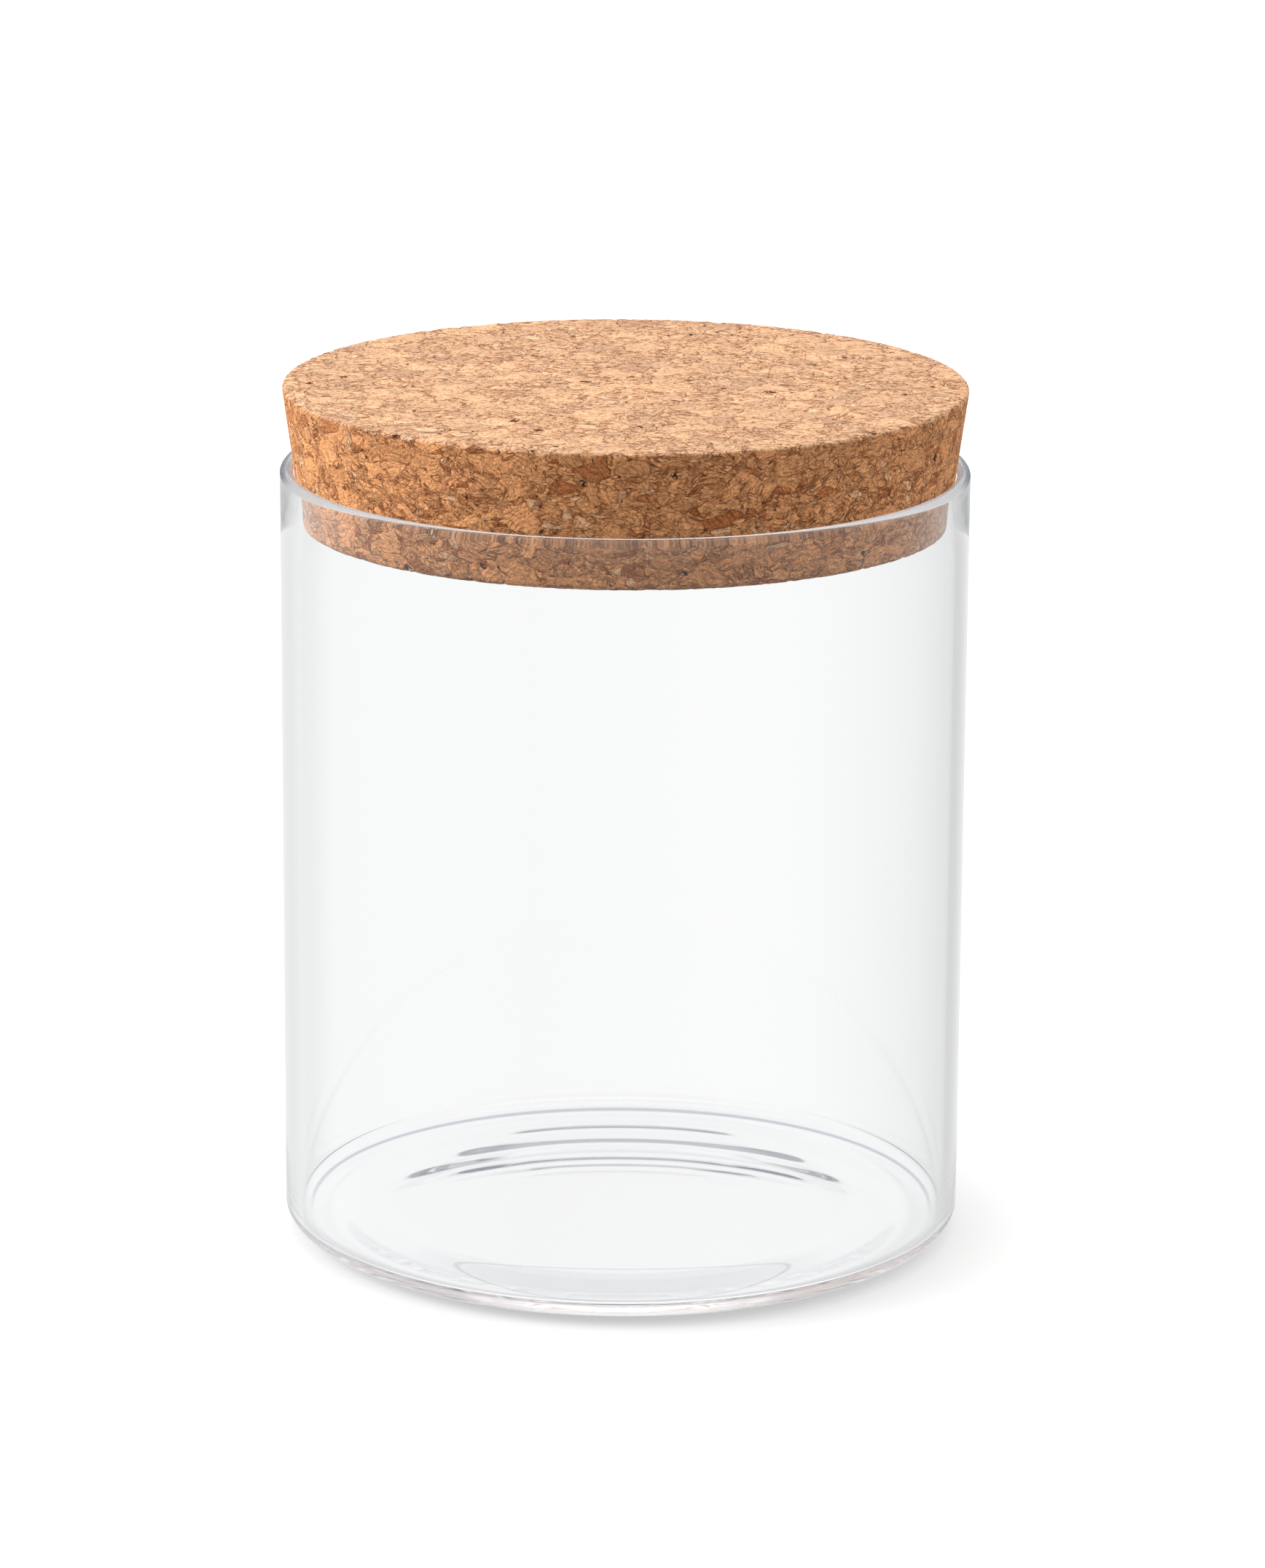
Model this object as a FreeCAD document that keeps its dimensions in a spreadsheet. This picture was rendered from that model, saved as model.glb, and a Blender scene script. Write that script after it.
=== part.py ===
import FreeCAD, Part

import math
import os

import Sketcher

# A straight-sided glass jar, closed by a tapered disc of pressed cork.
# Millimetres, +Z up. The origin is on the jar's axis, in the plane it stands on.

# The driving dimensions: lengths in millimetres, angles in degrees.
DIMENSIONS = {
    # glass jar
    "jar_diameter": 100.0,  # outside of the straight wall
    "jar_height": 114.5,  # standing plane to the top of the fire-polished rim
    "wall_thickness": 2.0,
    "base_thickness": 2.6,  # at the foot ring, its thickest place
    "inside_corner_radius": 3.0,  # where the wall meets the floor of the jar
    "heel_radius": 3.4,  # where the wall meets the underside
    "underside_angle": 4.0,  # rise of the underside from the foot ring to the heel
    "foot_ring_diameter": 68.0,  # middle of the flat ring that the jar stands on
    "foot_ring_width": 2.0,
    "punt_rise": 1.1,  # height of the hollow under the base
    # cork lid
    "lid_thickness": 19.9,
    "lid_depth": 7.85,  # how far the lid reaches below the rim
    "lid_taper": 7.9,  # half angle of the lid's cone
    "lid_clearance": 0.15,  # between the cone and the rounded rim
    "lid_top_edge_radius": 0.6,
    "lid_lower_edge_radius": 0.5,
}

# Sizes that follow from the driving dimensions, as expressions on the sheet.
OUTER_RADIUS = "Sizes.jar_diameter / 2"
MOUTH_RADIUS = "Sizes.jar_diameter / 2 - Sizes.wall_thickness"
RIM_RADIUS = "Sizes.wall_thickness / 2"
RIM_CENTRE_RADIUS = "Sizes.jar_diameter / 2 - Sizes.wall_thickness / 2"
RIM_CENTRE_HEIGHT = "Sizes.jar_height - Sizes.wall_thickness / 2"
RING_INNER_RADIUS = "(Sizes.foot_ring_diameter - Sizes.foot_ring_width) / 2"
RING_OUTER_RADIUS = "(Sizes.foot_ring_diameter + Sizes.foot_ring_width) / 2"
LID_HEIGHT = "Sizes.jar_height - Sizes.lid_depth"

# The lid's cone passes the rounded rim at the clearance, measured square to the cone.
LID_BOTTOM_RADIUS = (
    f"{RIM_CENTRE_RADIUS}"
    f" - (Sizes.wall_thickness / 2 + Sizes.lid_clearance) / cos(Sizes.lid_taper * 1 deg)"
    f" - (Sizes.lid_depth - Sizes.wall_thickness / 2) * tan(Sizes.lid_taper * 1 deg)"
)
LID_TOP_RADIUS = f"{LID_BOTTOM_RADIUS} + Sizes.lid_thickness * tan(Sizes.lid_taper * 1 deg)"

# Which point of a sketch element a constraint holds, and the sketch's own axes.
START, END, CENTRE = range(1, 4)
HORIZONTAL_AXIS, VERTICAL_AXIS = range(-1, -3, -1)
ORIGIN = (HORIZONTAL_AXIS, START)

doc = FreeCAD.newDocument("glass_jar_with_cork_lid")


def add_sheet():
    """Put the driving dimensions in a spreadsheet, one aliased cell each."""
    sheet = doc.addObject("Spreadsheet::Sheet", "Sizes")
    for row, (name, value) in enumerate(DIMENSIONS.items(), start=1):
        sheet.set(f"A{row}", name)
        sheet.set(f"B{row}", str(value))
        sheet.setAlias(f"B{row}", name)
    doc.recompute()
    return sheet


sizes = add_sheet()


def value_of(expression):
    """Work out an expression on the sheet, as a plain number."""
    return float(sizes.evalExpression(expression))


def point(radius, height):
    """A point of a half profile: distance from the axis, then height."""
    return FreeCAD.Vector(radius, height, 0)


def line(sketch, start, end):
    """Add a straight stretch to a profile."""
    return sketch.addGeometry(Part.LineSegment(start, end))


def arc(sketch, centre, radius, start_angle, end_angle):
    """Add an arc to a profile, anticlockwise between two angles in radians."""
    circle = Part.Circle(centre, FreeCAD.Vector(0, 0, 1), radius)
    return sketch.addGeometry(Part.ArcOfCircle(circle, start_angle, end_angle))


def bind(sketch, kind, elements, name, expression):
    """Add a named dimension to a sketch and bind it to the sheet."""
    start_value = value_of(expression)
    if kind == "Angle":
        start_value = math.radians(start_value)
        expression = f"({expression}) * 1 deg"
    index = sketch.addConstraint(Sketcher.Constraint(kind, *elements, start_value))
    sketch.renameConstraint(index, name)
    sketch.setExpression(f"Constraints.{name}", expression)


def relate(sketch, kind, *elements):
    """Add a geometric relation, such as a tangency, to a sketch."""
    sketch.addConstraint(Sketcher.Constraint(kind, *elements))


def new_body(label):
    """Start one sub-part with an empty half-profile sketch on its XZ plane."""
    body = doc.addObject("PartDesign::Body", label)
    body.Label = label
    sketch = body.newObject("Sketcher::SketchObject", f"{label}_profile")
    planes = [plane for plane in body.Origin.OriginFeatures if plane.Role == "XZ_Plane"]
    sketch.AttachmentSupport = (planes[0], [""])
    sketch.MapMode = "FlatFace"
    doc.recompute()
    return body, sketch


def revolve(body, sketch):
    """Turn a half profile round the vertical axis into a solid."""
    turned = body.newObject("PartDesign::Revolution", f"{body.Label}_revolution")
    turned.Profile = sketch
    turned.ReferenceAxis = (sketch, ["V_Axis"])
    turned.Angle = 360.0
    sketch.Visibility = False
    doc.recompute()
    return turned


def make_glass_jar():
    """The jar: rounded rim, straight wall, and a base that stands on a narrow ring."""
    body, profile = new_body("glass_jar")

    outer_radius = value_of(OUTER_RADIUS)
    mouth_radius = value_of(MOUTH_RADIUS)
    rim_radius = value_of(RIM_RADIUS)
    rim_centre = point(value_of(RIM_CENTRE_RADIUS), value_of(RIM_CENTRE_HEIGHT))
    ring_inner = value_of(RING_INNER_RADIUS)
    ring_outer = value_of(RING_OUTER_RADIUS)
    floor_height = value_of("Sizes.base_thickness")
    corner_radius = value_of("Sizes.inside_corner_radius")
    heel_radius = value_of("Sizes.heel_radius")
    slope = math.radians(value_of("Sizes.underside_angle"))
    punt_rise = value_of("Sizes.punt_rise")

    # The punt is a shallow dome through the ring's inner edge.
    punt_radius = (ring_inner**2 + punt_rise**2) / (2 * punt_rise)
    punt_centre = point(0, punt_rise - punt_radius)
    punt_edge_angle = math.atan2(punt_radius - punt_rise, ring_inner)

    # The heel touches both the sloping underside and the wall.
    heel_reach = outer_radius - heel_radius - ring_outer
    heel_height = heel_radius / math.cos(slope) + heel_reach * math.tan(slope)
    heel_centre = point(outer_radius - heel_radius, heel_height)
    heel_start = heel_centre + point(heel_radius * math.sin(slope), -heel_radius * math.cos(slope))

    corner_centre = point(mouth_radius - corner_radius, floor_height + corner_radius)

    axis = line(profile, point(0, floor_height), point(0, punt_rise))
    punt = arc(profile, punt_centre, punt_radius, punt_edge_angle, math.pi / 2)
    foot = line(profile, point(ring_inner, 0), point(ring_outer, 0))
    underside = line(profile, point(ring_outer, 0), heel_start)
    heel = arc(profile, heel_centre, heel_radius, slope - math.pi / 2, 0)
    outside = line(profile, point(outer_radius, heel_height), point(outer_radius, rim_centre.y))
    rim = arc(profile, rim_centre, rim_radius, 0, math.pi)
    inside = line(profile, point(mouth_radius, rim_centre.y), point(mouth_radius, corner_centre.y))
    corner = arc(profile, corner_centre, corner_radius, -math.pi / 2, 0)
    floor = line(profile, point(corner_centre.x, floor_height), point(0, floor_height))

    relate(profile, "Coincident", floor, END, axis, START)
    relate(profile, "Coincident", punt, END, axis, END)
    relate(profile, "Coincident", punt, START, foot, START)
    relate(profile, "Coincident", foot, END, underside, START)
    relate(profile, "Tangent", underside, END, heel, START)
    relate(profile, "Tangent", heel, END, outside, START)
    relate(profile, "Tangent", outside, END, rim, START)
    relate(profile, "Tangent", rim, END, inside, START)
    relate(profile, "Tangent", inside, END, corner, END)
    relate(profile, "Tangent", corner, START, floor, START)
    relate(profile, "PointOnObject", axis, START, VERTICAL_AXIS)
    relate(profile, "PointOnObject", axis, END, VERTICAL_AXIS)
    relate(profile, "PointOnObject", punt, CENTRE, VERTICAL_AXIS)
    relate(profile, "PointOnObject", foot, START, HORIZONTAL_AXIS)
    relate(profile, "PointOnObject", foot, END, HORIZONTAL_AXIS)
    relate(profile, "Vertical", outside)
    relate(profile, "Vertical", inside)
    relate(profile, "Horizontal", floor)

    bind(profile, "DistanceX", (*ORIGIN, foot, START), "ring_inner_radius", RING_INNER_RADIUS)
    bind(profile, "DistanceX", (*ORIGIN, foot, END), "ring_outer_radius", RING_OUTER_RADIUS)
    bind(profile, "DistanceX", (*ORIGIN, outside, END), "outer_radius", OUTER_RADIUS)
    bind(profile, "DistanceX", (*ORIGIN, inside, START), "mouth_radius", MOUTH_RADIUS)
    bind(profile, "DistanceY", (*ORIGIN, rim, CENTRE), "rim_height", RIM_CENTRE_HEIGHT)
    bind(profile, "DistanceY", (*ORIGIN, axis, START), "floor_height", "Sizes.base_thickness")
    bind(profile, "DistanceY", (*ORIGIN, axis, END), "punt_rise", "Sizes.punt_rise")
    bind(profile, "Angle", (underside,), "underside_angle", "Sizes.underside_angle")
    bind(profile, "Radius", (heel,), "heel_radius", "Sizes.heel_radius")
    bind(profile, "Radius", (corner,), "corner_radius", "Sizes.inside_corner_radius")

    revolve(body, profile)
    return body


def make_cork_lid():
    """The lid: a tapered disc that wedges into the mouth, with worn edges."""
    body, profile = new_body("cork_lid")

    bottom_radius = value_of(LID_BOTTOM_RADIUS)
    top_radius = value_of(LID_TOP_RADIUS)
    thickness = value_of("Sizes.lid_thickness")

    axis = line(profile, point(0, thickness), point(0, 0))
    bottom = line(profile, point(0, 0), point(bottom_radius, 0))
    side = line(profile, point(bottom_radius, 0), point(top_radius, thickness))
    top = line(profile, point(top_radius, thickness), point(0, thickness))

    relate(profile, "Coincident", axis, END, bottom, START)
    relate(profile, "Coincident", bottom, END, side, START)
    relate(profile, "Coincident", side, END, top, START)
    relate(profile, "Coincident", top, END, axis, START)
    relate(profile, "Coincident", axis, END, *ORIGIN)
    relate(profile, "Vertical", axis)
    relate(profile, "Horizontal", bottom)
    relate(profile, "Horizontal", top)

    bind(profile, "DistanceX", (*ORIGIN, bottom, END), "bottom_radius", LID_BOTTOM_RADIUS)
    bind(profile, "DistanceX", (*ORIGIN, top, START), "top_radius", LID_TOP_RADIUS)
    bind(profile, "DistanceY", (*ORIGIN, axis, START), "thickness", "Sizes.lid_thickness")

    turned = revolve(body, profile)
    upper = round_edge(body, turned, "top_edge", max, "Sizes.lid_top_edge_radius")
    round_edge(body, upper, "lower_edge", min, "Sizes.lid_lower_edge_radius")

    # The lid is drawn from its own underside and set at its depth in the mouth.
    body.setExpression("Placement.Base.z", LID_HEIGHT)
    return body


def round_edge(body, base, name, highest_or_lowest, radius):
    """Round the highest or lowest circular edge of a turned piece."""
    circles = {
        f"Edge{number}": edge.Curve.Center.z
        for number, edge in enumerate(base.Shape.Edges, start=1)
        if isinstance(edge.Curve, Part.Circle)
    }
    fillet = body.newObject("PartDesign::Fillet", f"{body.Label}_{name}")
    fillet.Base = (base, [highest_or_lowest(circles, key=circles.get)])
    fillet.setExpression("Radius", radius)
    doc.recompute()
    return fillet


def check(bodies):
    """Stop if anything in the document failed, or a sub-part isn't one valid solid."""
    for item in doc.Objects:
        if "Invalid" in item.State or "Error" in item.State:
            raise RuntimeError(f"{item.Label} failed: {item.State}")
        if item.TypeId == "Sketcher::SketchObject" and not item.FullyConstrained:
            raise RuntimeError(f"{item.Label} isn't fully constrained")
    for body in bodies:
        shape = body.Shape
        if shape.isNull() or not shape.isValid() or len(shape.Solids) != 1:
            raise RuntimeError(f"{body.Label} isn't one valid solid")


def export(bodies):
    """Write each sub-part to its own file, named by its label."""
    os.makedirs("parts", exist_ok=True)
    for body in bodies:
        body.Shape.exportStep(f"parts/{body.Label}.step")


sub_parts = [make_glass_jar(), make_cork_lid()]
doc.recompute()
check(sub_parts)
export(sub_parts)
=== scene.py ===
import math
import random

import bmesh
import bpy
from bpy.props import FloatProperty, FloatVectorProperty, IntProperty, PointerProperty
from mathutils import Matrix, Vector, kdtree, noise


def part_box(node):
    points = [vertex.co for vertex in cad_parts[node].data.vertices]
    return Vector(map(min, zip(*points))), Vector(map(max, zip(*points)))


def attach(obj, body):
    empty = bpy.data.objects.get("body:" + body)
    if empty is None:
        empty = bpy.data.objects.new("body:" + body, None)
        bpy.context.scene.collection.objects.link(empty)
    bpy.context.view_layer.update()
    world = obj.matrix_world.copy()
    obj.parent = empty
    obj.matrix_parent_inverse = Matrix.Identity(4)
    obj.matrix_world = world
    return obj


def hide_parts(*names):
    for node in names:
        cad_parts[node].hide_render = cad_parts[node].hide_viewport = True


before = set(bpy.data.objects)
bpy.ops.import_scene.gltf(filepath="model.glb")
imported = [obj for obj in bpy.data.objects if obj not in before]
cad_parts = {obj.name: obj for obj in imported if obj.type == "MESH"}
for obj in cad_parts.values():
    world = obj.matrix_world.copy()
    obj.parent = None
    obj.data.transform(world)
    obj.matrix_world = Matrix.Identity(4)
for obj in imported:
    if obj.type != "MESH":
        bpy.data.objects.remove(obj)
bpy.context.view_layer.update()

bl_info = {
    "name": "Cork-Lidded Glass Jar",
    "version": (1, 0, 0),
    "blender": (4, 5, 0),
    "location": "View3D > Sidebar > Jar",
    "description": "Builds a glass storage jar, its cork lid and the stage they are shown on",
    "category": "Add Mesh",
}

JAR_LOW, JAR_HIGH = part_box("glass_jar")
LID_LOW, LID_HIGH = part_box("cork_lid")
MM = 0.001
MM_PER_METRE = 1000.0
WHITE = (1.0, 1.0, 1.0, 1.0)
# Points closer than this count as one, or as lying on a flat face.
TOUCH = 0.001 * MM

# Moulding ripples in the back of the inside floor, in millimetres and degrees: how far back each lies,
# half its width, its slope, and where it ends to the left and right.
RIPPLES = (
    (34.83, 1.55, 4.08, -24.0, 25.0),
    (28.03, 1.85, 4.38, -31.0, 34.0),
    (23.41, 1.80, 3.80, -38.0, 39.0),
    (19.75, 1.15, 4.60, -31.0, 34.0),
    (16.55, 1.10, 4.60, -22.0, 28.0),
    (13.85, 0.80, 4.20, -17.0, 16.0),
)
# In plan the ripples follow one wide curve, fade out towards both ends, and stop short of the front.
RIPPLE_CURVE_RADIUS = 46.0
RIPPLE_END_FADE = 9.0
RIPPLE_CORNER_FADE = 3.0
RIPPLE_FRONT = -6.0
# The floor falls from before the first ripple to past the last as much as they rise.
FALL_BEFORE = 6.0
FALL_PAST = 5.0
FALL_EASE = 3.0
# The underside turns from the dome to the rise across the foot ring, and then eases into the heel.
FOOT_RING_HALF_WIDTH = 0.70
HEEL_EASE = 4.2
# Step and reach of the tables of heights that shape the base, in millimetres.
TABLE_STEP = 0.1
TABLE_REACH = 60.0

# Painted shade on the inside floor, in millimetres, which stands in for the dark line and patch that the
# base's refraction shows. The shaded line along the corner lies further out at the sides.
CORNER_SHADE_RADIUS = 43.5
CORNER_SHADE_SPREAD = 2.9
# The painted lens-shaped shade near the front lies inside the first circle and outside the second: middle x
# and y, and radius.
LENS_SHADE_INSIDE = (0.2, -17.5, 27.2)
LENS_SHADE_OUTSIDE = (-0.5, 55.2, 86.0)
LENS_SHADE_ROUNDING = 6.0

# Soft lights: name, place, side length in metres, power in watts, and whether the glass mirrors it.
SOFTBOXES = (
    ("left_softbox", (-0.9, -0.05, 0.50), 0.7, 9.5, False),
    ("top_softbox", (0.0, 0.25, 1.0), 0.8, 2.0, True),
)
LIT_POINT = (0.0, 0.0, 0.11)
FLOOR_RADIUS = 6.0
FLOOR_GAP = 0.02 * MM
# Light that is trapped in the wall and base needs many bounces to find its way out.
BOUNCES = 256
# Brightness of the studio that the glass shows, by direction in degrees: 0 is behind the jar and 90 is
# to its right.
STUDIO = (
    (-150, 0.02),
    (-110, 0.50),
    (-85, 0.66),
    (-69, 0.95),
    (-49, 0.86),
    (-30, 0.78),
    (-14, 0.81),
    (-6, 0.955),
    (2, 1.0),
    (10, 0.825),
    (22, 0.68),
    (30, 0.59),
    (50, 0.55),
    (62, 0.54),
    (80, 0.36),
    (110, 0.34),
    (150, 0.02),
)


class GlassJarSettings(bpy.types.PropertyGroup):
    """Sizes and tint of the glass jar."""

    diameter: FloatProperty(
        name="Diameter",
        description="Outside of the straight wall",
        default=JAR_HIGH.x - JAR_LOW.x,
        unit="LENGTH",
    )
    height: FloatProperty(
        name="Height",
        description="Standing plane to the top of the rim",
        default=JAR_HIGH.z - JAR_LOW.z,
        unit="LENGTH",
    )
    wall: FloatProperty(
        name="Wall",
        description="Thickness of the wall",
        default=2.0 * MM,
        unit="LENGTH",
    )
    base: FloatProperty(
        name="Base",
        description="Height of the inside floor above the standing plane",
        default=2.27 * MM,
        unit="LENGTH",
    )
    corner_width: FloatProperty(
        name="Corner Width",
        description="How far from the wall the inside floor begins to curve up",
        default=5.59 * MM,
        unit="LENGTH",
    )
    corner_height: FloatProperty(
        name="Corner Height",
        description="How far above the inside floor the wall is straight",
        default=1.40 * MM,
        unit="LENGTH",
    )
    heel_width: FloatProperty(
        name="Heel Width",
        description="How far inside the wall the underside begins to curve up",
        default=6.20 * MM,
        unit="LENGTH",
    )
    heel_height: FloatProperty(
        name="Heel Height",
        description="How far above the underside the wall is straight",
        default=3.40 * MM,
        unit="LENGTH",
    )
    heel_lift: FloatProperty(
        name="Heel Lift",
        description="Height of the underside where the heel begins",
        default=0.31 * MM,
        unit="LENGTH",
    )
    foot_radius: FloatProperty(
        name="Foot Radius",
        description="Radius of the low ring that the jar stands on",
        default=34.5 * MM,
        unit="LENGTH",
    )
    foot_shift: FloatProperty(
        name="Foot Shift",
        description="How far behind the jar's axis the ring's middle lies",
        default=4.24 * MM,
        unit="LENGTH",
    )
    dome: FloatProperty(
        name="Dome",
        description="Slope of the hollow under the base, in degrees per millimetre from its middle",
        default=0.0172,
    )
    rise: FloatProperty(
        name="Rise",
        description="Slope of the underside outside the ring",
        default=math.radians(1.21),
        subtype="ANGLE",
    )
    ior: FloatProperty(
        name="Refraction",
        description="Refractive index of the glass",
        default=1.5,
    )
    tint: FloatVectorProperty(
        name="Tint",
        description="Colour that long paths through the glass take on",
        subtype="COLOR",
        default=(0.45, 0.55, 0.62),
    )
    tint_density: FloatProperty(
        name="Tint Density",
        description="How fast the tint builds up along a path, per metre",
        default=0.5,
    )


class CorkLidSettings(bpy.types.PropertyGroup):
    """Sizes, grain and colours of the cork lid."""

    top_radius: FloatProperty(
        name="Top Radius",
        description="Radius of the lid at its upper edge",
        default=(LID_HIGH.x - LID_LOW.x) / 2,
        unit="LENGTH",
    )
    taper: FloatProperty(
        name="Taper",
        description="Half angle of the lid's cone",
        default=math.radians(7.9),
        subtype="ANGLE",
    )
    edge_radius: FloatProperty(
        name="Edge Radius",
        description="Rounding of the upper edge",
        default=0.55 * MM,
        unit="LENGTH",
    )
    lower_radius: FloatProperty(
        name="Lower Edge Radius",
        description="Rounding of the worn lower edge",
        default=1.2 * MM,
        unit="LENGTH",
    )
    granule_size: FloatProperty(
        name="Granule Size",
        description="Usual width of one large granule, in millimetres",
        default=4.2,
    )
    crumb_size: FloatProperty(
        name="Crumb Size",
        description="Usual width of the crumbs between the granules, in millimetres",
        default=1.7,
    )
    pits: IntProperty(
        name="Pits",
        description="How many small holes the surface has",
        default=64,
    )
    seed: IntProperty(
        name="Seed",
        description="Seed of the scattered pits",
        default=7,
    )
    dark: FloatVectorProperty(
        name="Dark Granules",
        description="Colour of the darkest granules",
        subtype="COLOR",
        default=(0.42, 0.142, 0.050),
    )
    middle: FloatVectorProperty(
        name="Usual Granules",
        description="Colour of most granules",
        subtype="COLOR",
        default=(0.655, 0.298, 0.128),
    )
    pale: FloatVectorProperty(
        name="Pale Granules",
        description="Colour of the palest granules",
        subtype="COLOR",
        default=(0.90, 0.60, 0.36),
    )
    # Painted sheen: a pale colour laid on the top in place of its glancing reflection.
    painted_sheen: FloatVectorProperty(
        name="Dust",
        description="Colour of the dust on the sanded top",
        subtype="COLOR",
        default=(0.90, 0.75, 0.55),
    )
    crevice: FloatVectorProperty(
        name="Crevices",
        description="Colour of the thin gaps between granules",
        subtype="COLOR",
        default=(0.27, 0.078, 0.024),
    )
    hollow: FloatVectorProperty(
        name="Hollows",
        description="Colour of the cracks and pits",
        subtype="COLOR",
        default=(0.11, 0.034, 0.014),
    )


class StageSettings(bpy.types.PropertyGroup):
    """Camera and light."""

    lens: FloatProperty(
        name="Lens",
        description="Focal length on a sensor 36 mm high",
        default=140.36,
    )
    camera_place: FloatVectorProperty(
        name="Camera Place",
        description="Where the camera stands",
        subtype="TRANSLATION",
        default=(1.338 * MM, -866.716 * MM, 300.27 * MM),
    )
    camera_drop: FloatProperty(
        name="Camera Drop",
        description="How far below the horizon the camera looks",
        default=math.radians(15.093),
        subtype="ANGLE",
    )
    camera_roll: FloatProperty(
        name="Camera Roll",
        description="Turn of the camera about its line of sight",
        default=math.radians(0.36),
        subtype="ANGLE",
    )


def add_node(tree, kind, inputs=None, **settings):
    """Add a node, set its options, and fill its inputs with values or links."""
    node = tree.nodes.new(kind)
    for name, value in settings.items():
        setattr(node, name, value)
    for key, value in (inputs or {}).items():
        if isinstance(value, bpy.types.NodeSocket):
            tree.links.new(value, node.inputs[key])
        else:
            node.inputs[key].default_value = value
    return node


def calculate(tree, operation, first, second=0.0, third=0.0, clamp=False):
    """One Math node: the result of an operation on numbers or sockets."""
    node = add_node(tree, "ShaderNodeMath", operation=operation, use_clamp=clamp)
    for socket, value in zip(node.inputs, (first, second, third)):
        if isinstance(value, bpy.types.NodeSocket):
            tree.links.new(value, socket)
        else:
            socket.default_value = value
    return node.outputs["Value"]


def combine(tree, operation, inputs, result="Vector"):
    """One Vector Math node: the result of an operation on vectors or sockets."""
    return add_node(tree, "ShaderNodeVectorMath", inputs, operation=operation).outputs[result]


def ease(tree, value, low, high, start=0.0, end=1.0):
    """Take a value from one range smoothly to another."""
    inputs = {"Value": value, "From Min": low, "From Max": high, "To Min": start, "To Max": end}
    return add_node(tree, "ShaderNodeMapRange", inputs, interpolation_type="SMOOTHSTEP").outputs["Result"]


def blend_colours(tree, factor, first, second, mode="MIX"):
    """One Mix node on colours."""
    node = add_node(tree, "ShaderNodeMix", data_type="RGBA", blend_type=mode)
    for name, value in (("Factor_Float", factor), ("A_Color", first), ("B_Color", second)):
        socket = next(s for s in node.inputs if s.identifier == name)
        if isinstance(value, bpy.types.NodeSocket):
            tree.links.new(value, socket)
        else:
            socket.default_value = value
    return next(s for s in node.outputs if s.identifier == "Result_Color")


def colour(rgb, scale=1.0):
    """A colour property as the four numbers that a socket takes."""
    return (rgb[0] * scale, rgb[1] * scale, rgb[2] * scale, 1.0)


def new_material(name):
    """An empty node material and its output."""
    material = bpy.data.materials.new(name)
    material.use_nodes = True
    material.node_tree.nodes.clear()
    output = add_node(material.node_tree, "ShaderNodeOutputMaterial")
    return material, material.node_tree, output


def new_piece(name, mesh, material, body, node):
    """Put a finished mesh in the scene, riding on its body, in place of its solid."""
    mesh.materials.append(material)
    piece = bpy.data.objects.new(name, mesh)
    bpy.context.scene.collection.objects.link(piece)
    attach(piece, body)
    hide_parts(node)


def arc(centre, width, height, start, end, steps):
    """Points on an elliptical arc of a half profile, from one angle to another."""
    turn = (end - start) / steps
    angles = [start + turn * step for step in range(steps + 1)]
    return [centre + Vector((math.cos(a) * width, math.sin(a) * height)) for a in angles]


def straight(start, end, steps):
    """Points along a straight stretch of a half profile, without its ends."""
    return [start.lerp(end, step / steps) for step in range(1, steps)]


def smooth(value, low, high):
    """0 below a range, 1 above it, and a smooth step between."""
    share = min(max((value - low) / (high - low), 0.0), 1.0)
    return share * share * (3.0 - 2.0 * share)


def spun_mesh(name, profile, sectors, steps):
    """Spin a half profile on the axis into one sector, then repeat that into a closed smooth mesh."""
    shape = bmesh.new()
    points = [shape.verts.new((p.x, 0.0, p.y)) for p in profile]
    edges = [shape.edges.new(pair) for pair in zip(points, points[1:])]
    turn = {"cent": (0.0, 0.0, 0.0), "axis": (0.0, 0.0, 1.0)}
    bmesh.ops.spin(shape, geom=points + edges, angle=math.tau / sectors, steps=steps, **turn)
    sector = shape.verts[:] + shape.edges[:] + shape.faces[:]
    rest = math.tau * (sectors - 1) / sectors
    bmesh.ops.spin(shape, geom=sector, angle=rest, steps=sectors - 1, use_duplicate=True, **turn)
    bmesh.ops.remove_doubles(shape, verts=shape.verts[:], dist=TOUCH)
    bmesh.ops.recalc_face_normals(shape, faces=shape.faces[:])
    for face in shape.faces:
        face.smooth = True
    mesh = bpy.data.meshes.new(name)
    shape.to_mesh(mesh)
    shape.free()
    return mesh


def jar_profile(jar):
    """Half profile of the jar, from the middle of the floor round to the middle of a flat underside."""
    outer = jar.diameter / 2
    inner = outer - jar.wall
    edge = jar.wall / 2
    quarter = math.pi / 2

    corner_centre = Vector((inner - jar.corner_width, jar.base + jar.corner_height))
    rim_centre = Vector((outer - edge, jar.height - edge))
    heel_centre = Vector((outer - jar.heel_width, jar.heel_lift + jar.heel_height))
    floor_middle = Vector((0.0, jar.base))
    under_middle = Vector((0.0, jar.heel_lift))
    corner = arc(corner_centre, jar.corner_width, jar.corner_height, -quarter, 0.0, steps=36)
    rim = arc(rim_centre, edge, edge, math.pi, 0.0, steps=28)
    heel = arc(heel_centre, jar.heel_width, jar.heel_height, 0.0, -quarter, steps=30)

    profile = [floor_middle]
    profile += straight(floor_middle, corner[0], steps=150)
    profile += corner
    profile += straight(corner[-1], rim[0], steps=12)
    profile += rim
    profile += straight(rim[-1], heel[0], steps=12)
    profile += heel
    profile += straight(heel[-1], under_middle, steps=60)
    profile.append(under_middle)
    return profile


def step_middles():
    """Middles of a table's steps, in millimetres."""
    return [(count + 0.5) * TABLE_STEP for count in range(round(TABLE_REACH / TABLE_STEP))]


def added_up(slopes):
    """Table of heights at the ends of its steps, from the slope at the middle of each."""
    heights = [0.0]
    for slope in slopes:
        heights.append(heights[-1] + math.tan(slope) * TABLE_STEP)
    return heights


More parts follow.
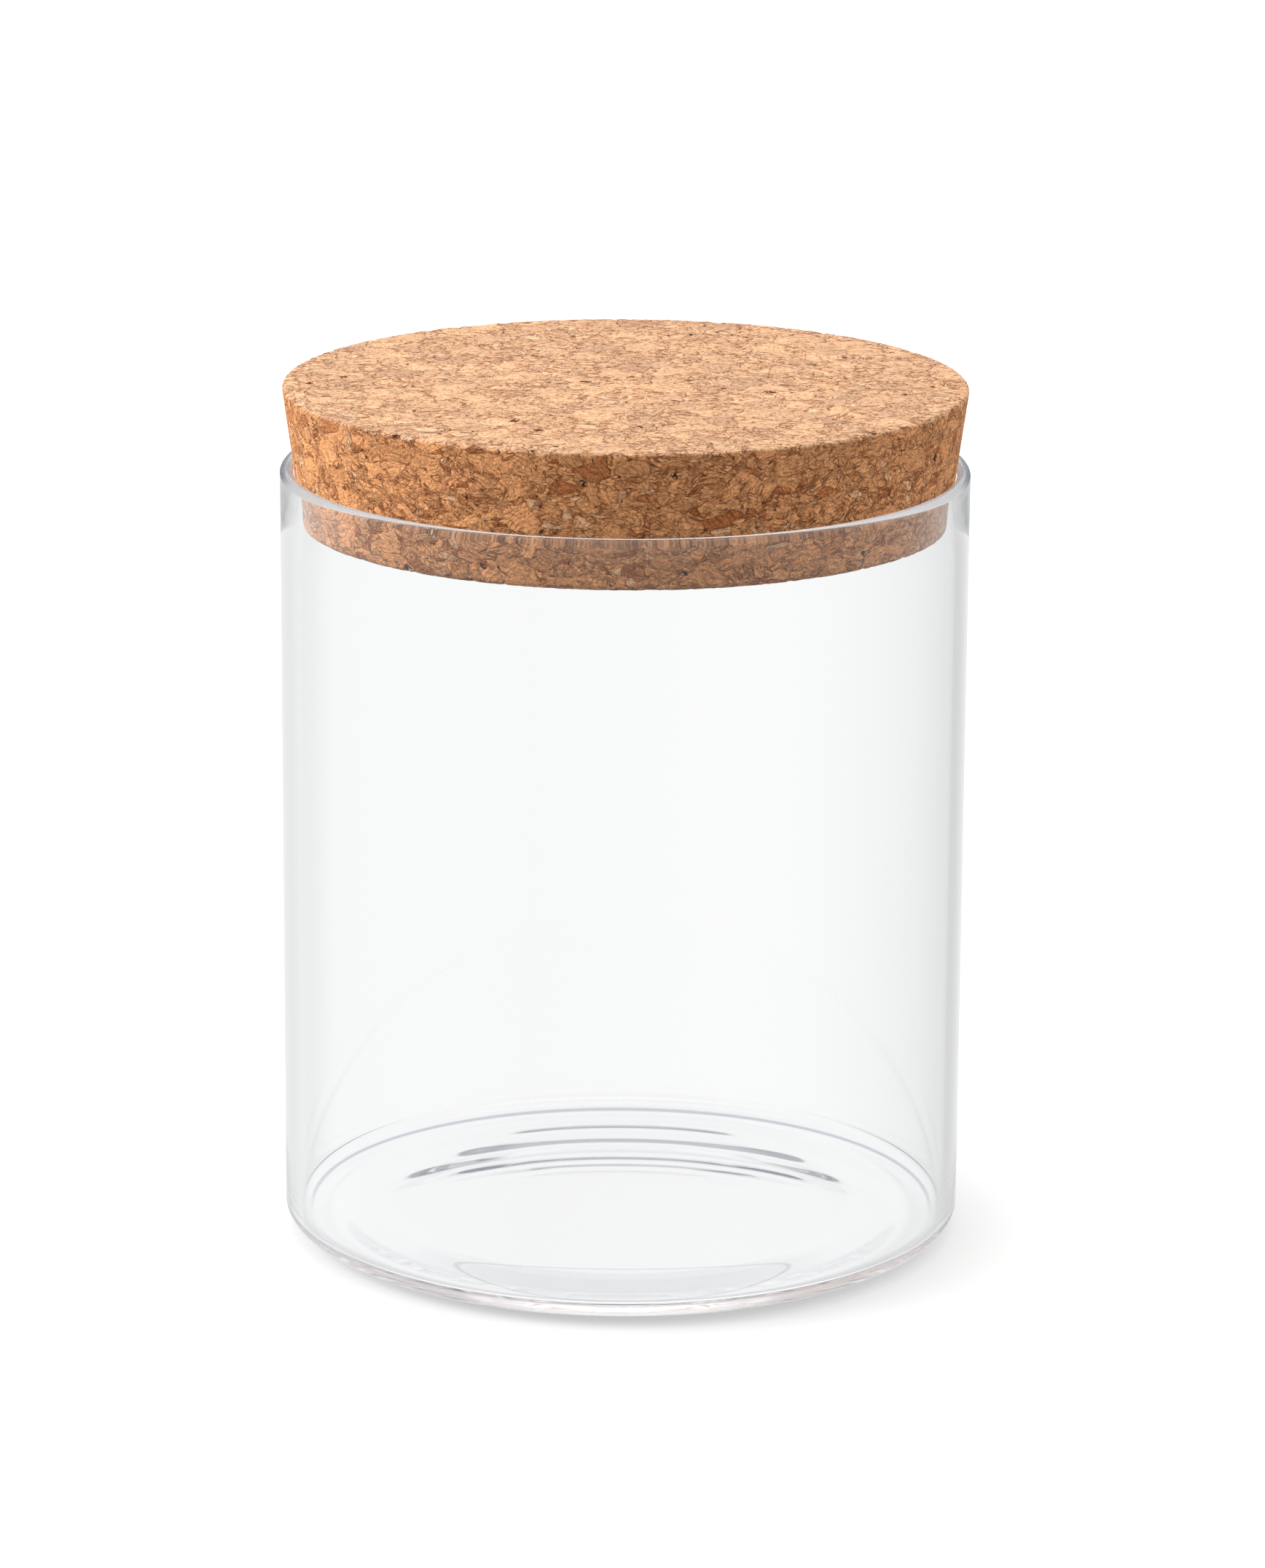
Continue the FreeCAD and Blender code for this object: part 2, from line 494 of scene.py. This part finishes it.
def height_at(heights, place):
    """Height at a place between two entries of a table."""
    count = min(max(place / TABLE_STEP, 0.0), len(heights) - 1.001)
    before = int(count)
    return heights[before] + (heights[before + 1] - heights[before]) * (count - before)


def fall_heights():
    """Table of the floor's own fall, which starts and ends gently, before it is scaled to a ripple."""
    start = RIPPLES[-1][0] - FALL_BEFORE
    end = RIPPLES[0][0] + FALL_PAST
    slopes = []
    for middle in step_middles():
        begun = smooth(middle, start, start + FALL_EASE)
        ended = smooth(middle, end - FALL_EASE, end)
        slopes.append(math.atan(begun * (1.0 - ended)))
    return added_up(slopes)


def ripple_heights(place, width, slope):
    """Table of one ripple's rise, steepest at its middle."""
    steep = math.radians(slope)
    return added_up([steep * math.exp(-(((middle - place) / width) ** 4)) for middle in step_middles()])


def shape_floor(mesh, jar):
    """Raise the moulding ripples in the back of the inside floor."""
    fall = fall_heights()
    ripples = []
    for place, width, slope, left, right in RIPPLES:
        rise = ripple_heights(place, width, slope)
        ripples.append((rise, rise[-1] / fall[-1], left, right))
    floor_end = jar.diameter / 2 - jar.wall - jar.corner_width
    fade_start = floor_end - RIPPLE_CORNER_FADE * MM
    for vertex in mesh.vertices:
        across, back = vertex.co.x / MM, vertex.co.y / MM
        radius = math.hypot(vertex.co.x, vertex.co.y)
        if abs(vertex.co.z - jar.base) > TOUCH or radius > floor_end or back < RIPPLE_FRONT:
            continue
        along = back + RIPPLE_CURVE_RADIUS - math.sqrt(RIPPLE_CURVE_RADIUS**2 - across**2)
        height = 0.0
        for rise, share, left, right in ripples:
            begun = smooth(across, left, left + RIPPLE_END_FADE)
            ended = smooth(across, right - RIPPLE_END_FADE, right)
            shown = begun * (1.0 - ended)
            height += shown * (height_at(rise, along) - share * height_at(fall, along))
        vertex.co.z += height * MM * (1.0 - smooth(radius, fade_start, floor_end))


def shape_underside(mesh, jar):
    """Press the foot ring and the shallow dome inside it into the flat underside."""
    slopes = []
    for reach in step_middles():
        outside = smooth(reach - jar.foot_radius / MM, -FOOT_RING_HALF_WIDTH, FOOT_RING_HALF_WIDTH)
        slopes.append(jar.rise * outside - math.radians(jar.dome * reach) * (1.0 - outside))
    heights = added_up(slopes)
    lowest = min(heights)
    heel_start = jar.diameter / 2 - jar.heel_width
    for vertex in mesh.vertices:
        radius = math.hypot(vertex.co.x, vertex.co.y)
        if vertex.co.z > jar.heel_lift + TOUCH or radius > heel_start:
            continue
        reach = math.hypot(vertex.co.x, vertex.co.y - jar.foot_shift)
        height = (height_at(heights, reach / MM) - lowest) * MM
        joined = smooth(radius, heel_start - HEEL_EASE * MM, heel_start)
        vertex.co.z = height + (jar.heel_lift - height) * joined


def distance_from(tree, place, x, y):
    """Distance in plan from an upright line, in millimetres."""
    in_plan = (MM_PER_METRE, MM_PER_METRE, 0.0)
    flat = combine(tree, "MULTIPLY_ADD", {0: place, 1: in_plan, 2: (-x, -y, 0.0)})
    return combine(tree, "LENGTH", {0: flat}, "Value")


def painted_corner_shade(tree, place, axes):
    """Strength of the painted shade line along the back of the corner, which is thinner at the sides."""
    radius = distance_from(tree, place, 0.0, 0.0)
    side = calculate(tree, "DIVIDE", calculate(tree, "MULTIPLY", axes["X"], MM_PER_METRE), radius)
    side = calculate(tree, "MULTIPLY", side, side)
    line = calculate(tree, "MULTIPLY_ADD", side, CORNER_SHADE_SPREAD, CORNER_SHADE_RADIUS)
    away = calculate(tree, "ABSOLUTE", calculate(tree, "SUBTRACT", radius, line))
    away = calculate(tree, "MULTIPLY", away, calculate(tree, "MULTIPLY_ADD", side, 1.5, 1.0))
    at_back = ease(tree, axes["Y"], -0.012, 0.006)
    return calculate(tree, "MULTIPLY", ease(tree, away, 0.25, 1.25, 0.80, 0.0), at_back)


def painted_lens_shade(tree, place):
    """Strength of the painted lens-shaped shade near the front, with a thin outline."""
    x, y, radius = LENS_SHADE_INSIDE
    inside = calculate(tree, "SUBTRACT", radius, distance_from(tree, place, x, y))
    x, y, radius = LENS_SHADE_OUTSIDE
    outside = calculate(tree, "SUBTRACT", distance_from(tree, place, x, y), radius)
    lens = calculate(tree, "SMOOTH_MIN", inside, outside, LENS_SHADE_ROUNDING)
    outline = calculate(tree, "ABSOLUTE", calculate(tree, "SUBTRACT", lens, 0.1))
    outline = ease(tree, outline, 0.05, 0.40, 0.50, 0.0)
    return calculate(tree, "MAXIMUM", ease(tree, lens, -0.1, 0.2, 0.0, 0.05), outline)


def painted_floor_shade(tree, place):
    """Strength of the painted shade on the inside floor, which stands in for the base's refraction."""
    axes = add_node(tree, "ShaderNodeSeparateXYZ", {"Vector": place}).outputs
    painted_shade = calculate(tree, "MAXIMUM", painted_corner_shade(tree, place, axes), painted_lens_shade(tree, place))
    above_underside = ease(tree, axes["Z"], 0.0016, 0.0018)
    below_wall = ease(tree, axes["Z"], 0.004, 0.005, 1.0, 0.0)
    on_floor = calculate(tree, "MULTIPLY", above_underside, below_wall)
    return calculate(tree, "MULTIPLY", painted_shade, on_floor)


def clear_glass(jar):
    """Clear glass with painted shade on the inside floor in place of the base's refraction, and a faint tint
    that shows only along the wall.
    """
    material, tree, output = new_material("clear_glass")
    place = add_node(tree, "ShaderNodeTexCoord").outputs["Object"]
    # The painted shade darkens the glass's colour towards blue-grey on the inside floor.
    shaded_glass_colour = blend_colours(tree, painted_floor_shade(tree, place), WHITE, (0.20, 0.24, 0.32, 1.0))
    glass = add_node(
        tree,
        "ShaderNodeBsdfPrincipled",
        {
            "Base Color": shaded_glass_colour,
            "Roughness": 0.0,
            "IOR": jar.ior,
            "Transmission Weight": 1.0,
        },
    )
    tint = add_node(
        tree,
        "ShaderNodeVolumeAbsorption",
        {"Color": colour(jar.tint), "Density": jar.tint_density},
    )
    # Light on the cork and the table passes straight through, weaker through the heel, which turns it aside.
    path = add_node(tree, "ShaderNodeLightPath").outputs
    height = add_node(tree, "ShaderNodeSeparateXYZ", {"Vector": place}).outputs["Z"]
    passed = ease(tree, height, 0.0, 0.014, 0.42, 0.92)
    clear = add_node(tree, "ShaderNodeBsdfTransparent", {"Color": passed})
    surface = add_node(
        tree,
        "ShaderNodeMixShader",
        {
            0: calculate(tree, "MAXIMUM", path["Is Shadow Ray"], path["Is Diffuse Ray"]),
            1: glass.outputs["BSDF"],
            2: clear.outputs["BSDF"],
        },
    )
    tree.links.new(surface.outputs["Shader"], output.inputs["Surface"])
    tree.links.new(tint.outputs["Volume"], output.inputs["Volume"])
    return material


def lid_profile(lid):
    """Half profile of the lid, from the middle of its top round to the middle of its underside."""
    quarter = math.pi / 2
    radius = lid.edge_radius
    worn = lid.lower_radius
    top_centre = Vector((lid.top_radius - radius, LID_HIGH.z - radius))
    drop = top_centre.y - (LID_LOW.z + worn)
    inward = drop * math.tan(lid.taper) + (worn - radius) / math.cos(lid.taper)
    low_centre = Vector((top_centre.x - inward, LID_LOW.z + worn))
    top_middle = Vector((0.0, LID_HIGH.z))
    low_middle = Vector((0.0, LID_LOW.z))
    upper = arc(top_centre, radius, radius, quarter, -lid.taper, steps=5)
    lower = arc(low_centre, worn, worn, -lid.taper, -quarter, steps=8)
    profile = [top_middle]
    profile += straight(top_middle, upper[0], steps=84)
    profile += upper
    profile += straight(upper[-1], lower[0], steps=34)
    profile += lower
    profile += straight(lower[-1], low_middle, steps=40)
    profile.append(low_middle)
    return profile


def scatter_pits(mesh, lid):
    """Seeded pits: a place on the surface, a radius and a depth for each."""
    draw = random.Random(lid.seed)
    count = len(mesh.vertices)
    places = []
    while len(places) < lid.pits:
        spot = mesh.vertices[draw.randrange(count)].co
        if math.hypot(spot.x, spot.y) < draw.random() * lid.top_radius:
            continue
        size = draw.uniform(0.5, 1.1) * MM
        places.append((spot.copy(), size, draw.uniform(0.4, 0.7) * size))
    return places


def roughen_cork(mesh, lid):
    """Carve the pits, crumble the two edges and give the granules a slight relief."""
    places = scatter_pits(mesh, lid)
    tree = kdtree.KDTree(len(places))
    for number, (spot, _, _) in enumerate(places):
        tree.insert(spot, number)
    tree.balance()
    pit_reach = 1.8 * MM
    crease_width, crease_depth = 0.16, 0.04 * MM
    unevenness = 0.03 * MM
    crumbled_width, crumbled_depth = 1.6 * MM, 0.4 * MM

    depth_shown = mesh.attributes.new("pit_depth", "FLOAT", "POINT")
    normals = [vertex.normal.copy() for vertex in mesh.vertices]
    for vertex, normal in zip(mesh.vertices, normals):
        here = vertex.co.copy()
        in_mm = here / MM
        # Relief of whole granules, with a crease where two of them meet.
        nearest, _ = noise.voronoi(in_mm / lid.granule_size)
        crease = max(0.0, 1.0 - (nearest[1] - nearest[0]) / crease_width)
        depth = crease_depth * crease**2
        depth += unevenness * (1.0 + noise.noise(in_mm * 1.1))
        # Crumbled stretches along the upper and lower edges.
        radius = math.hypot(here.x, here.y)
        from_top = LID_HIGH.z - here.z
        from_low = here.z - LID_LOW.z
        from_side = abs(lid.top_radius - from_top * math.tan(lid.taper) - radius)
        nearness = max(0.0, 1.0 - math.hypot(from_side, min(from_top, from_low)) / crumbled_width)
        if nearness > 0.0:
            crumble = noise.fractal(in_mm * 0.9, 1.0, 2.0, 3)
            depth += nearness * max(0.0, crumble - 0.02) * crumbled_depth
        # Pits.
        shown = 0.0
        for _, number, distance in tree.find_range(here, pit_reach):
            _, size, deep = places[number]
            wobble = 1.0 + 0.6 * noise.noise(in_mm * 1.3)
            nearness = smooth(1.0 - distance / (size * wobble), 0.0, 1.0)
            depth += deep * nearness
            shown = max(shown, nearness)
        depth_shown.data[vertex.index].value = shown
        vertex.co = here - normal * depth


def grain_cells(tree, place, size):
    """Granules of a given size: a random colour for each, and the distance to the nearest gap."""
    cells = add_node(tree, "ShaderNodeTexVoronoi", {"Vector": place, "Scale": 1.0 / size})
    gaps = add_node(
        tree,
        "ShaderNodeTexVoronoi",
        {"Vector": place, "Scale": 1.0 / size},
        feature="DISTANCE_TO_EDGE",
    )
    distance = calculate(tree, "MULTIPLY", gaps.outputs["Distance"], size)
    return cells.outputs["Color"], distance


def offset(tree, place, detail_scale, amount):
    """Shift places by a smooth noise, so that what is drawn there has uneven outlines."""
    drift = add_node(tree, "ShaderNodeTexNoise", {"Vector": place, "Scale": detail_scale, "Detail": 1.0})
    centred = combine(tree, "SUBTRACT", {0: drift.outputs["Color"], 1: (0.5, 0.5, 0.5)})
    scaled = combine(tree, "SCALE", {0: centred, "Scale": amount})
    return combine(tree, "ADD", {0: place, 1: scaled})


def growth_lines(tree, place, granule):
    """Overlapping growth layers, each rising from 0 to 1, in a different direction in each granule."""
    layer_width = 0.62
    toward = combine(tree, "MULTIPLY_ADD", {0: granule, 1: (2.0, 2.0, 4.0), 2: (-1.0, -1.0, -2.0)})
    toward = combine(tree, "NORMALIZE", {0: toward})
    wavy = offset(tree, place, 0.32, 3.0)
    wavy = offset(tree, wavy, 1.6, 0.35)
    along = combine(tree, "DOT_PRODUCT", {0: wavy, 1: toward}, "Value")
    return calculate(tree, "FRACT", calculate(tree, "MULTIPLY", along, 1.0 / layer_width))


def speckle(tree, place, scale, detail=2.0, roughness=0.5):
    """A noise, 0 to 1, with a given number of blotches per millimetre."""
    inputs = {"Vector": place, "Scale": scale, "Detail": detail, "Roughness": roughness}
    return add_node(tree, "ShaderNodeTexNoise", inputs).outputs["Fac"]


def cork_granules(tree, lid, place):
    """Granules, many broken up into crumbs: a random colour for each, its gaps, and where crumbs are."""
    large, large_gap = grain_cells(tree, place, lid.granule_size)
    small, small_gap = grain_cells(tree, place, lid.crumb_size)
    large_parts = add_node(tree, "ShaderNodeSeparateColor", {"Color": large}).outputs
    crumbs = calculate(tree, "GREATER_THAN", large_parts["Blue"], 0.35)
    granule = blend_colours(tree, crumbs, large, small)
    # The crumbs' gaps are moved out of reach where a granule is whole.
    whole = calculate(tree, "MULTIPLY", calculate(tree, "SUBTRACT", 1.0, crumbs), 9.0)
    gap = calculate(tree, "MINIMUM", large_gap, calculate(tree, "ADD", whole, small_gap))
    return granule, gap, crumbs


def granule_colours(tree, lid, parts, crumbs):
    """A colour for each granule, from dark to usual, and a few pale crumbs."""
    ramp = add_node(tree, "ShaderNodeValToRGB", {"Fac": parts["Red"]})
    stops = ramp.color_ramp.elements
    stops[0].color = colour(lid.dark)
    stops[1].color = colour(lid.middle, 1.14)
    for position, shade in ((0.16, 0.84), (0.5, 1.0)):
        stop = stops.new(position)
        stop.color = colour(lid.middle, shade)
    pale = calculate(tree, "MULTIPLY", crumbs, ease(tree, parts["Green"], 0.90, 0.96, 0.0, 0.45))
    return blend_colours(tree, pale, ramp.outputs["Color"], colour(lid.pale))


def cork_shade(tree, in_mm, layers, fibre, grain):
    """Lightness within the granules: broken dark growth lines, fibres and fine grain."""
    begun = ease(tree, layers, 0.55, 0.9)
    lines = calculate(tree, "MULTIPLY", begun, ease(tree, layers, 0.92, 1.0, 1.0, 0.0))
    unbroken = ease(tree, speckle(tree, in_mm, 0.45), 0.36, 0.62, 0.15, 1.0)
    lines = calculate(tree, "MULTIPLY", lines, unbroken)
    shade = calculate(tree, "MULTIPLY_ADD", lines, -0.50, 1.13)
    shade = calculate(tree, "MULTIPLY", shade, ease(tree, fibre, 0.25, 0.75, 0.54, 1.44))
    return calculate(tree, "MULTIPLY", shade, ease(tree, grain, 0.2, 0.8, 0.66, 1.34))


def cork_openings(tree, in_mm, place, gap):
    """Strength of the gaps, of the cracks and pits together, and of the pits alone."""
    # Gaps come and go along the granules' outlines, and open into short cracks in places.
    width = ease(tree, speckle(tree, in_mm, 0.6), 0.35, 0.7, 0.05, 0.30)
    closeness = calculate(tree, "SUBTRACT", 1.0, calculate(tree, "DIVIDE", gap, width), clamp=True)
    open_here = ease(tree, speckle(tree, in_mm, 0.9), 0.36, 0.62, 0.22, 0.95)
    gap_depth = calculate(tree, "MULTIPLY", closeness, open_here)
    crack = ease(tree, speckle(tree, place, 1.1, 3.0), 0.64, 0.72)
    crack = calculate(tree, "MULTIPLY", crack, ease(tree, gap, 0.10, 0.55, 1.0, 0.0))
    pit = add_node(tree, "ShaderNodeAttribute", attribute_name="pit_depth").outputs["Fac"]
    pit = ease(tree, pit, 0.12, 0.4)
    hollow = calculate(tree, "MAXIMUM", calculate(tree, "MULTIPLY", crack, 0.9), pit)
    return gap_depth, hollow, pit


def pressed_cork(lid):
    """Pressed cork: flattened granules with wavy growth lines, thin dark gaps, cracks and pits."""
    material, tree, output = new_material("pressed_cork")
    coordinates = add_node(tree, "ShaderNodeTexCoord").outputs["Object"]
    in_mm = combine(tree, "SCALE", {0: coordinates, "Scale": MM_PER_METRE})
    # The block was pressed from above, so its granules lie flat.
    flat = combine(tree, "MULTIPLY", {0: in_mm, 1: (1.0, 1.0, 1.6)})
    place = offset(tree, flat, 0.20, 5.0)
    place = offset(tree, place, 0.75, 1.1)

    granule, gap, crumbs = cork_granules(tree, lid, place)
    parts = add_node(tree, "ShaderNodeSeparateColor", {"Color": granule}).outputs
    layers = growth_lines(tree, in_mm, granule)
    fibre = speckle(tree, place, 1.5, 4.0, 0.68)
    grain = speckle(tree, in_mm, 4.0, 2.0, 0.6)
    shade = cork_shade(tree, in_mm, layers, fibre, grain)
    painted = blend_colours(tree, 1.0, granule_colours(tree, lid, parts, crumbs), shade, mode="MULTIPLY")

    # The top is paler: a painted sheen, stronger on the lighter granules, stands in for the glancing
    # reflection of the bright studio there.
    top = LID_HIGH.z / MM
    up = add_node(tree, "ShaderNodeSeparateXYZ", {"Vector": in_mm}).outputs["Z"]
    sanded = ease(tree, up, top - 0.5, top - 0.2)
    sheen_share = calculate(tree, "MULTIPLY", sanded, ease(tree, shade, 0.55, 1.25, 0.05, 0.36))
    painted = blend_colours(tree, sheen_share, painted, colour(lid.painted_sheen))

    gap_depth, hollow, pit = cork_openings(tree, in_mm, place, gap)
    painted = blend_colours(tree, gap_depth, painted, colour(lid.crevice))
    painted = blend_colours(tree, hollow, painted, colour(lid.hollow))
    fleck = calculate(tree, "MULTIPLY", pit, ease(tree, speckle(tree, in_mm, 2.4, 0.0), 0.60, 0.66))
    painted = blend_colours(tree, fleck, painted, colour(lid.pale))

    height = calculate(tree, "MULTIPLY", layers, 0.11)
    reliefs = ((gap_depth, -0.16), (parts["Green"], 0.08), (hollow, -0.30), (fibre, 0.18), (grain, 0.14))
    for value, amount in reliefs:
        height = calculate(tree, "MULTIPLY_ADD", value, amount, height)
    bump = add_node(tree, "ShaderNodeBump", {"Height": height, "Strength": 1.0, "Distance": MM})
    cork = add_node(
        tree,
        "ShaderNodeBsdfPrincipled",
        {
            "Base Color": painted,
            "Roughness": 0.75,
            "Specular IOR Level": 0.05,
            "Sheen Weight": 0.04,
            "Sheen Roughness": 0.55,
            "Sheen Tint": (1.0, 0.90, 0.78, 1.0),
            "Normal": bump.outputs["Normal"],
        },
    )
    tree.links.new(cork.outputs["BSDF"], output.inputs["Surface"])
    return material


def seen_by_glass(tree):
    """1 for rays that show the surroundings in or through glass, else 0."""
    path = add_node(tree, "ShaderNodeLightPath").outputs
    return calculate(tree, "MAXIMUM", path["Is Glossy Ray"], path["Is Transmission Ray"])


def round_the_jar(tree, axes):
    """The studio round the jar: grey beside and before it where the glass mirrors it, white through it."""
    angle = calculate(tree, "ARCTAN2", axes["X"], axes["Y"])
    turn = calculate(tree, "MULTIPLY_ADD", angle, 1.0 / math.tau, 0.5)
    ramp = add_node(tree, "ShaderNodeValToRGB", {"Fac": turn})
    stops = ramp.color_ramp.elements
    stops[0].color = stops[1].color = colour(WHITE, STUDIO[0][1])
    for degrees, level in STUDIO:
        stop = stops.new(degrees / 360.0 + 0.5)
        stop.color = colour(WHITE, level)
    path = add_node(tree, "ShaderNodeLightPath").outputs
    not_behind = ease(tree, axes["Y"], 0.60, 0.97, 1.0, 0.0)
    through = calculate(tree, "MULTIPLY", path["Is Transmission Ray"], not_behind)
    return blend_colours(tree, through, ramp.outputs["Color"], colour(WHITE, 0.92))


def backdrop(tree, axes):
    """What the glass shows of the studio, from the table below up to the light above."""
    table = (1.008, 1.014, 1.018, 1.0)
    low = (0.866, 0.866, 0.875, 1.0)
    high = (0.720, 0.730, 0.760, 1.0)
    level = blend_colours(tree, 1.0, round_the_jar(tree, axes), table, mode="MULTIPLY")
    straight_down = ease(tree, axes["Z"], -0.9, -0.55, 1.0, 0.0)
    level = blend_colours(tree, straight_down, level, colour(WHITE, 1.1))
    # The dim horizon lies only behind the jar.
    horizon = blend_colours(tree, ease(tree, axes["Y"], 0.82, 0.94), low, (0.205, 0.230, 0.276, 1.0))
    bands = (
        (-0.195, -0.155, horizon),
        (0.171, 0.251, low),
        (0.390, 0.450, high),
        (0.85, 0.95, colour(WHITE, 1.3)),
    )
    for start, end, band in bands:
        level = blend_colours(tree, ease(tree, axes["Z"], start, end), level, band)
    return level


def studio_world():
    """White for the camera, the studio for the glass, and fill light mostly from behind and beside."""
    world = bpy.data.worlds.new("studio")
    world.use_nodes = True
    tree = world.node_tree
    tree.nodes.clear()
    output = add_node(tree, "ShaderNodeOutputWorld")
    direction = add_node(tree, "ShaderNodeTexCoord").outputs["Generated"]
    axes = add_node(tree, "ShaderNodeSeparateXYZ", {"Vector": direction}).outputs
    fill = ease(tree, axes["Y"], -0.5, 0.6, 0.40, 0.94)
    fill = calculate(tree, "ADD", fill, ease(tree, axes["X"], -0.9, 0.0, 0.35, 0.0))
    fill = calculate(tree, "ADD", fill, ease(tree, axes["X"], 0.2, 0.9, 0.0, 0.95))
    path = add_node(tree, "ShaderNodeLightPath").outputs
    level = blend_colours(tree, seen_by_glass(tree), fill, backdrop(tree, axes))
    level = blend_colours(tree, path["Is Camera Ray"], level, WHITE)
    background = add_node(tree, "ShaderNodeBackground", {"Color": level, "Strength": 1.0})
    tree.links.new(background.outputs["Background"], output.inputs["Surface"])
    bpy.context.scene.world = world


def white_floor():
    """A white table which takes the jar's soft shadow, and which doesn't hide the studio from the glass."""
    material, tree, output = new_material("white_floor")
    place = add_node(tree, "ShaderNodeTexCoord").outputs["Object"]
    reach = combine(tree, "LENGTH", {0: place}, "Value")
    path = add_node(tree, "ShaderNodeLightPath").outputs
    to_camera = calculate(tree, "MULTIPLY", path["Is Camera Ray"], ease(tree, reach, 0.06, 0.30, 0.42, 1.0))
    lit = add_node(tree, "ShaderNodeEmission", {"Color": WHITE, "Strength": to_camera})
    shade = blend_colours(tree, path["Is Camera Ray"], colour(WHITE, 0.34), colour(WHITE, 0.62))
    matte = add_node(tree, "ShaderNodeBsdfDiffuse", {"Color": shade})
    table = add_node(tree, "ShaderNodeAddShader", {0: lit.outputs["Emission"], 1: matte.outputs["BSDF"]})
    unseen = add_node(tree, "ShaderNodeBsdfTransparent", {"Color": WHITE})
    surface = add_node(
        tree,
        "ShaderNodeMixShader",
        {0: seen_by_glass(tree), 1: table.outputs["Shader"], 2: unseen.outputs["BSDF"]},
    )
    tree.links.new(surface.outputs["Shader"], output.inputs["Surface"])
    return material


def add_floor():
    """A wide disc just under the foot ring."""
    shape = bmesh.new()
    bmesh.ops.create_circle(shape, cap_ends=True, segments=96, radius=FLOOR_RADIUS)
    bmesh.ops.translate(shape, verts=shape.verts[:], vec=(0.0, 0.0, JAR_LOW.z - FLOOR_GAP))
    mesh = bpy.data.meshes.new("floor")
    shape.to_mesh(mesh)
    shape.free()
    mesh.materials.append(white_floor())
    floor = bpy.data.objects.new("floor", mesh)
    bpy.context.scene.collection.objects.link(floor)


def add_softbox(name, place, size, power, mirrored):
    """A square soft light that looks at the lid, and that the glass may mirror."""
    data = bpy.data.lights.new(name, "AREA")
    data.shape = "SQUARE"
    data.size = size
    data.energy = power
    lamp = bpy.data.objects.new(name, data)
    lamp.location = place
    lamp.rotation_euler = (Vector(LIT_POINT) - Vector(place)).to_track_quat("-Z", "Y").to_euler()
    lamp.visible_camera = False
    lamp.visible_glossy = mirrored
    lamp.visible_transmission = mirrored
    bpy.context.scene.collection.objects.link(lamp)


def add_camera(stage):
    """The camera, at the photograph's viewing angle."""
    data = bpy.data.cameras.new("camera")
    data.sensor_fit = "VERTICAL"
    data.sensor_height = 36.0
    data.lens = stage.lens
    camera = bpy.data.objects.new("camera", data)
    look = Matrix.Rotation(math.pi / 2 - stage.camera_drop, 4, "X")
    roll = Matrix.Rotation(stage.camera_roll, 4, "Z")
    camera.matrix_world = Matrix.Translation(stage.camera_place) @ look @ roll
    bpy.context.scene.collection.objects.link(camera)
    bpy.context.scene.camera = camera


class JAR_OT_stage(bpy.types.Operator):
    """Set up the camera, the floor and the light"""

    bl_idname = "jar.stage"
    bl_label = "Stage"

    def execute(self, context):
        scene = context.scene
        scene.view_settings.view_transform = "Standard"
        scene.cycles.max_bounces = BOUNCES
        scene.cycles.transmission_bounces = BOUNCES
        scene.cycles.glossy_bounces = BOUNCES
        add_camera(scene.jar_stage)
        add_floor()
        studio_world()
        for softbox in SOFTBOXES:
            add_softbox(*softbox)
        return {"FINISHED"}


class JAR_OT_glass_jar(bpy.types.Operator):
    """Build the glass jar"""

    bl_idname = "jar.glass_jar"
    bl_label = "Glass Jar"

    def execute(self, context):
        jar = context.scene.jar_glass
        mesh = spun_mesh("glass_jar_body", jar_profile(jar), sectors=12, steps=20)
        shape_floor(mesh, jar)
        shape_underside(mesh, jar)
        new_piece("glass_jar_body", mesh, clear_glass(jar), "jar", "glass_jar")
        return {"FINISHED"}


class JAR_OT_cork_lid(bpy.types.Operator):
    """Build the cork lid"""

    bl_idname = "jar.cork_lid"
    bl_label = "Cork Lid"

    def execute(self, context):
        lid = context.scene.jar_lid
        mesh = spun_mesh("cork_lid_disc", lid_profile(lid), sectors=18, steps=30)
        roughen_cork(mesh, lid)
        new_piece("cork_lid_disc", mesh, pressed_cork(lid), "lid", "cork_lid")
        return {"FINISHED"}


class JAR_PT_sidebar(bpy.types.Panel):
    """The jar's pieces and their sizes"""

    bl_idname = "JAR_PT_sidebar"
    bl_label = "Cork-Lidded Jar"
    bl_space_type = "VIEW_3D"
    bl_region_type = "UI"
    bl_category = "Jar"

    def draw(self, context):
        for operator in OPERATORS:
            self.layout.operator(operator.bl_idname)
        for settings in (context.scene.jar_glass, context.scene.jar_lid, context.scene.jar_stage):
            box = self.layout.box()
            for name in settings.__annotations__:
                box.prop(settings, name)


SETTINGS = {
    "jar_glass": GlassJarSettings,
    "jar_lid": CorkLidSettings,
    "jar_stage": StageSettings,
}
OPERATORS = (JAR_OT_stage, JAR_OT_glass_jar, JAR_OT_cork_lid)


def register():
    for name, group in SETTINGS.items():
        bpy.utils.register_class(group)
        setattr(bpy.types.Scene, name, PointerProperty(type=group))
    for operator in OPERATORS:
        bpy.utils.register_class(operator)
    bpy.utils.register_class(JAR_PT_sidebar)


def unregister():
    bpy.utils.unregister_class(JAR_PT_sidebar)
    for operator in reversed(OPERATORS):
        bpy.utils.unregister_class(operator)
    for name, group in SETTINGS.items():
        delattr(bpy.types.Scene, name)
        bpy.utils.unregister_class(group)


def main():
    register()
    bpy.ops.jar.stage()
    bpy.ops.jar.glass_jar()
    bpy.ops.jar.cork_lid()


if __name__ == "__main__":
    main()
